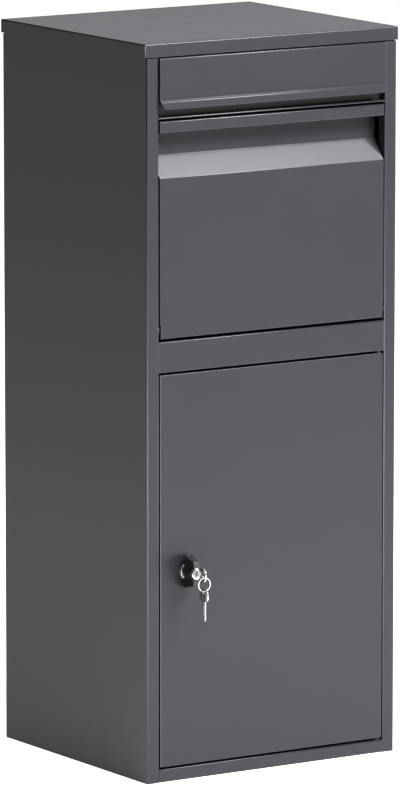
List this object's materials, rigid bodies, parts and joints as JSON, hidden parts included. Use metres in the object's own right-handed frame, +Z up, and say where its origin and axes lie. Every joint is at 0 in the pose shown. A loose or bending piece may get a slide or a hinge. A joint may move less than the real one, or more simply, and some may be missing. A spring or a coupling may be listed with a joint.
{
  "type": "parcel drop mailbox",
  "caption": "Free-standing steel parcel and letter drop box with a letter flap, a tilting parcel hopper with a grip recess, and a lockable collection door.",
  "frame": {"origin": "middle of the body's footprint, on the underside of the floor pan", "axes": "+Z up, the door and hopper face -Y, +X to the right when facing the door"},
  "size_m": [0.4064, 0.4222, 1],
  "materials": {
    "cabinet_powder_coat": "anthracite grey powder coat, fine satin texture",
    "door_powder_coat": "anthracite grey powder coat, fine satin texture",
    "hopper_powder_coat": "anthracite grey powder coat, fine satin texture",
    "flap_powder_coat": "anthracite grey powder coat, fine satin texture",
    "zinc_plated": "zinc plated steel",
    "nickel": "bright nickel plate",
    "satin_nickel": "satin nickel plate",
    "black_plastic": "black moulded nylon, fine texture",
    "rubber": "black rubber",
    "nylon": "black nylon"
  },
  "bodies": {
    "cabinet": {"side_panel_left": "cabinet_powder_coat", "side_panel_right": "cabinet_powder_coat", "back_panel": "cabinet_powder_coat", "floor_pan": "cabinet_powder_coat", "roof_cap": "cabinet_powder_coat", "mid_rail": "cabinet_powder_coat", "slot_header": "cabinet_powder_coat", "slot_sill": "cabinet_powder_coat", "flap_pads": "rubber", "letter_chute": "cabinet_powder_coat", "theft_baffle": "cabinet_powder_coat", "rest_brackets": "cabinet_powder_coat", "hopper_bushes": "nylon", "door_washers": "nylon"},
    "flap": {"letter_flap": "flap_powder_coat", "flap_rod": "zinc_plated"},
    "hopper": {"hopper_front": "hopper_powder_coat", "hopper_floor": "hopper_powder_coat", "hopper_cheek_right": "hopper_powder_coat", "hopper_cheek_left": "hopper_powder_coat", "hopper_pins": "zinc_plated", "stop_pins": "zinc_plated", "stop_buffers": "rubber"},
    "door": {"door_panel": "door_powder_coat", "door_stiffener": "door_powder_coat", "door_pins": "zinc_plated", "lock_housing": "satin_nickel", "lock_nut": "zinc_plated"},
    "knob": {"turn_knob": "black_plastic", "lock_cam": "zinc_plated", "cam_screw": "zinc_plated"},
    "plug": {"lock_plug": "nickel"},
    "key": {"key": "nickel"},
    "ring": {"key_ring": "nickel"},
    "spare_key": {"spare_key": "nickel"}
  },
  "joints": [
    {"name": "flap_hinge", "type": "hinge", "parent": "cabinet", "child": "flap", "pos_m": [0, -0.1805, 0.9757], "axis": [-1, 0, 0], "range_deg": [0, 75]},
    {"name": "hopper_hinge", "type": "hinge", "parent": "cabinet", "child": "hopper", "pos_m": [0, -0.176, 0.616], "axis": [1, 0, 0], "range_deg": [0, 48]},
    {"name": "door_hinge", "type": "hinge", "parent": "cabinet", "child": "door", "pos_m": [0.1745, -0.1778, 0.28775], "axis": [0, 0, 1], "range_deg": [0, 105]},
    {"name": "knob_turn", "type": "hinge", "parent": "door", "child": "knob", "pos_m": [-0.1393, -0.19, 0.28625], "axis": [0, 1, 0], "range_deg": [0, 90]},
    {"name": "key_turn", "type": "hinge", "parent": "knob", "child": "plug", "pos_m": [-0.1393, -0.19, 0.28625], "axis": [0, 1, 0], "range_deg": [0, 90]},
    {"name": "key_slide", "type": "slide", "parent": "plug", "child": "key", "axis": [0, -1, 0], "range_m": [0, 0.03]},
    {"name": "ring_swing", "type": "hinge", "parent": "key", "child": "ring", "pos_m": [-0.1393, -0.2288, 0.28405], "axis": [1, 0, 0], "range_deg": [-60, 15]},
    {"name": "spare_key_swing", "type": "hinge", "parent": "ring", "child": "spare_key", "pos_m": [-0.1393, -0.2288, 0.26405], "axis": [1, 0, 0], "range_deg": [-60, 20]}
  ]
}
